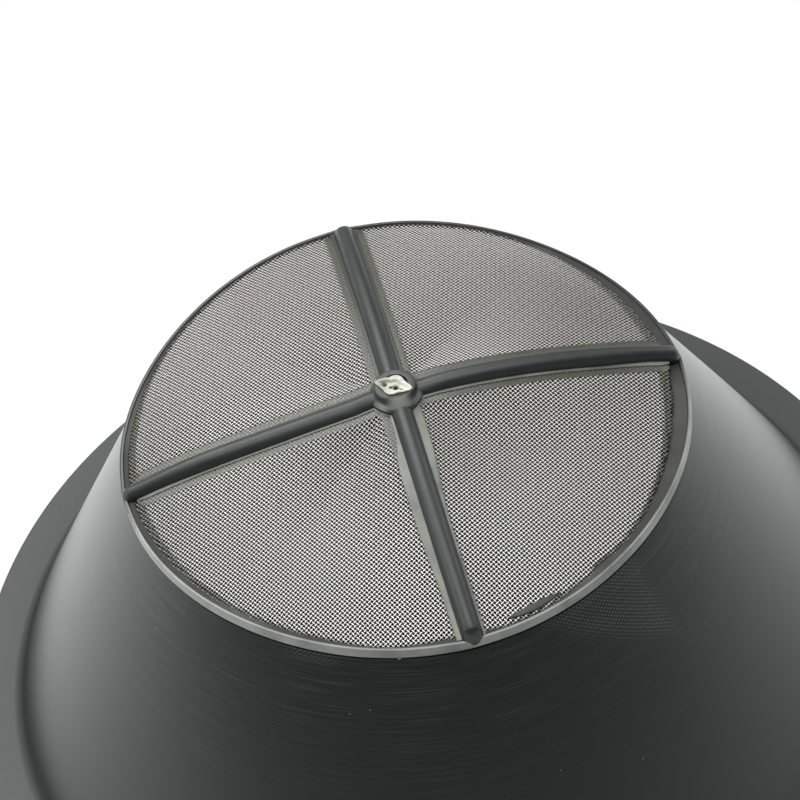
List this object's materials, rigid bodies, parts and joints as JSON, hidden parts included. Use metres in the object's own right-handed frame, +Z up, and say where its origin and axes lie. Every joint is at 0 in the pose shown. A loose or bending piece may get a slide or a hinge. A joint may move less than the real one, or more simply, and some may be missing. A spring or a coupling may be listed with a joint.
{
  "type": "paint strainer",
  "caption": "Conical plastic paint strainer with a wide seating flange and a domed round mesh held under a cross of ribs.",
  "frame": {"origin": "centre of the flange's flat rest face", "axes": "+Z up from the flange through the mesh and the hub, +X and +Y each along a rib"},
  "size_m": [0.3144, 0.3144, 0.1314],
  "materials": {
    "dark_plastic": "near-black moulded plastic, half gloss on the cone, fine grain on the flange",
    "pale_mesh": "off-white woven filament net"
  },
  "bodies": {
    "root": {"strainer_body": "dark_plastic", "mesh_disc": "pale_mesh"}
  },
  "joints": []
}
